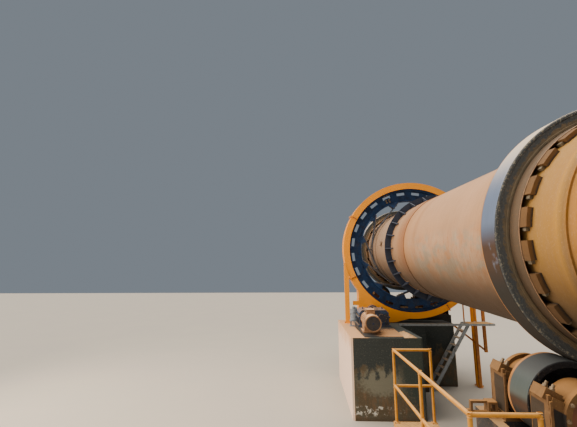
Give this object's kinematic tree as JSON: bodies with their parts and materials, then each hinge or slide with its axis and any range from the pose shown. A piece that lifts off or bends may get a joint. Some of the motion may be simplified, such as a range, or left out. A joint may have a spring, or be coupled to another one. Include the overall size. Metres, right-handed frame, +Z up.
{
  "type": "rotary kiln",
  "caption": "Sloping rotary kiln drum on two tyre and roller stations with a spring-mounted girth gear, pinion drive, gear guard, concrete piers and side platforms.",
  "frame": {"origin": "on the floor, at the middle of the near pier, under the middle of the near tyre", "axes": "+Z up, +Y along the plan of the drum towards its higher end, +X to the right looking uphill"},
  "size_m": [4.5299, 15.2001, 6.3426],
  "materials": {
    "shell": "dusty mill scale and old paint",
    "end_rings": "rusty plate under dust",
    "tyres": "rolled bright, rust at the edges",
    "tyre_pads": "greasy dust",
    "gusset_ring": "dark paint under dust",
    "gear": "dark blue, greased",
    "springs": "dusty plate",
    "rollers": "rolled bright, rust below",
    "shafts": "turned, oily",
    "bearings": "ochre dust on paint",
    "frames": "dark paint, rust and dust",
    "reducer": "dark blue-grey paint",
    "motor": "dusty paint",
    "grease_unit": "grey enamel",
    "guard": "orange-yellow enamel",
    "concrete": "cast concrete with spills and grime",
    "platform": "yellow paint under dust",
    "walkway": "grey paint, dusty"
  },
  "bodies": {
    "plant": {"near_left_bearings": "bearings", "near_right_bearings": "bearings", "far_left_bearings": "bearings", "far_right_bearings": "bearings", "near_base_frame": "frames", "far_base_frame": "frames", "pinion_bearings": "reducer", "reducer": "reducer", "motor": "motor", "drive_base": "frames", "grease_unit": "grease_unit", "guard_top": "guard", "guard_left": "guard", "guard_right": "guard", "guard_bottom": "guard", "guard_legs": "guard", "near_pier": "concrete", "far_pier": "concrete", "drive_pier": "concrete", "platform_deck": "platform", "platform_railing": "platform", "walkway": "walkway", "walkway_ladder": "walkway", "jack_screws": "bearings"},
    "drum": {"shell": "shell", "near_end_ring": "end_rings", "far_end_ring": "end_rings", "near_tyre": "tyres", "far_tyre": "tyres", "near_tyre_pads": "tyre_pads", "far_tyre_pads": "tyre_pads", "gusset_ring": "gusset_ring", "girth_gear": "gear", "spring_plates": "springs"},
    "near_left_idler": {"near_left_roller": "rollers", "near_left_shaft": "shafts"},
    "near_right_idler": {"near_right_roller": "rollers", "near_right_shaft": "shafts"},
    "far_left_idler": {"far_left_roller": "rollers", "far_left_shaft": "shafts"},
    "far_right_idler": {"far_right_roller": "rollers", "far_right_shaft": "shafts"},
    "pinion_set": {"pinion": "gear", "pinion_shaft": "shafts"}
  },
  "joints": [
    {"name": "drum_spin", "type": "hinge", "parent": "plant", "child": "drum", "pos_m": [0, 0, 3.67], "axis": [0, 0.9983, 0.0576], "continuous": true},
    {"name": "near_left_spin", "type": "hinge", "parent": "plant", "child": "near_left_idler", "pos_m": [-0.82871, 0.09362, 2.04625], "axis": [0, 0.9983, 0.0576], "continuous": true},
    {"name": "near_right_spin", "type": "hinge", "parent": "plant", "child": "near_right_idler", "pos_m": [0.82871, 0.09362, 2.04625], "axis": [0, 0.9983, 0.0576], "continuous": true},
    {"name": "far_left_spin", "type": "hinge", "parent": "plant", "child": "far_left_idler", "pos_m": [-0.82871, 9.77754, 2.60462], "axis": [0, 0.9983, 0.0576], "continuous": true},
    {"name": "far_right_spin", "type": "hinge", "parent": "plant", "child": "far_right_idler", "pos_m": [0.82871, 9.77754, 2.60462], "axis": [0, 0.9983, 0.0576], "continuous": true},
    {"name": "pinion_spin", "type": "hinge", "parent": "plant", "child": "pinion_set", "pos_m": [-1.33299, 8.4707, 2.25155], "axis": [0, 0.9983, 0.0576], "continuous": true}
  ],
  "couplings": [
    {"joint": "near_left_spin", "follows": "drum_spin", "ratio": -3.5062},
    {"joint": "near_right_spin", "follows": "drum_spin", "ratio": -3.5062},
    {"joint": "far_left_spin", "follows": "drum_spin", "ratio": -3.5062},
    {"joint": "far_right_spin", "follows": "drum_spin", "ratio": -3.5062},
    {"joint": "pinion_spin", "follows": "drum_spin", "ratio": -7.3}
  ]
}
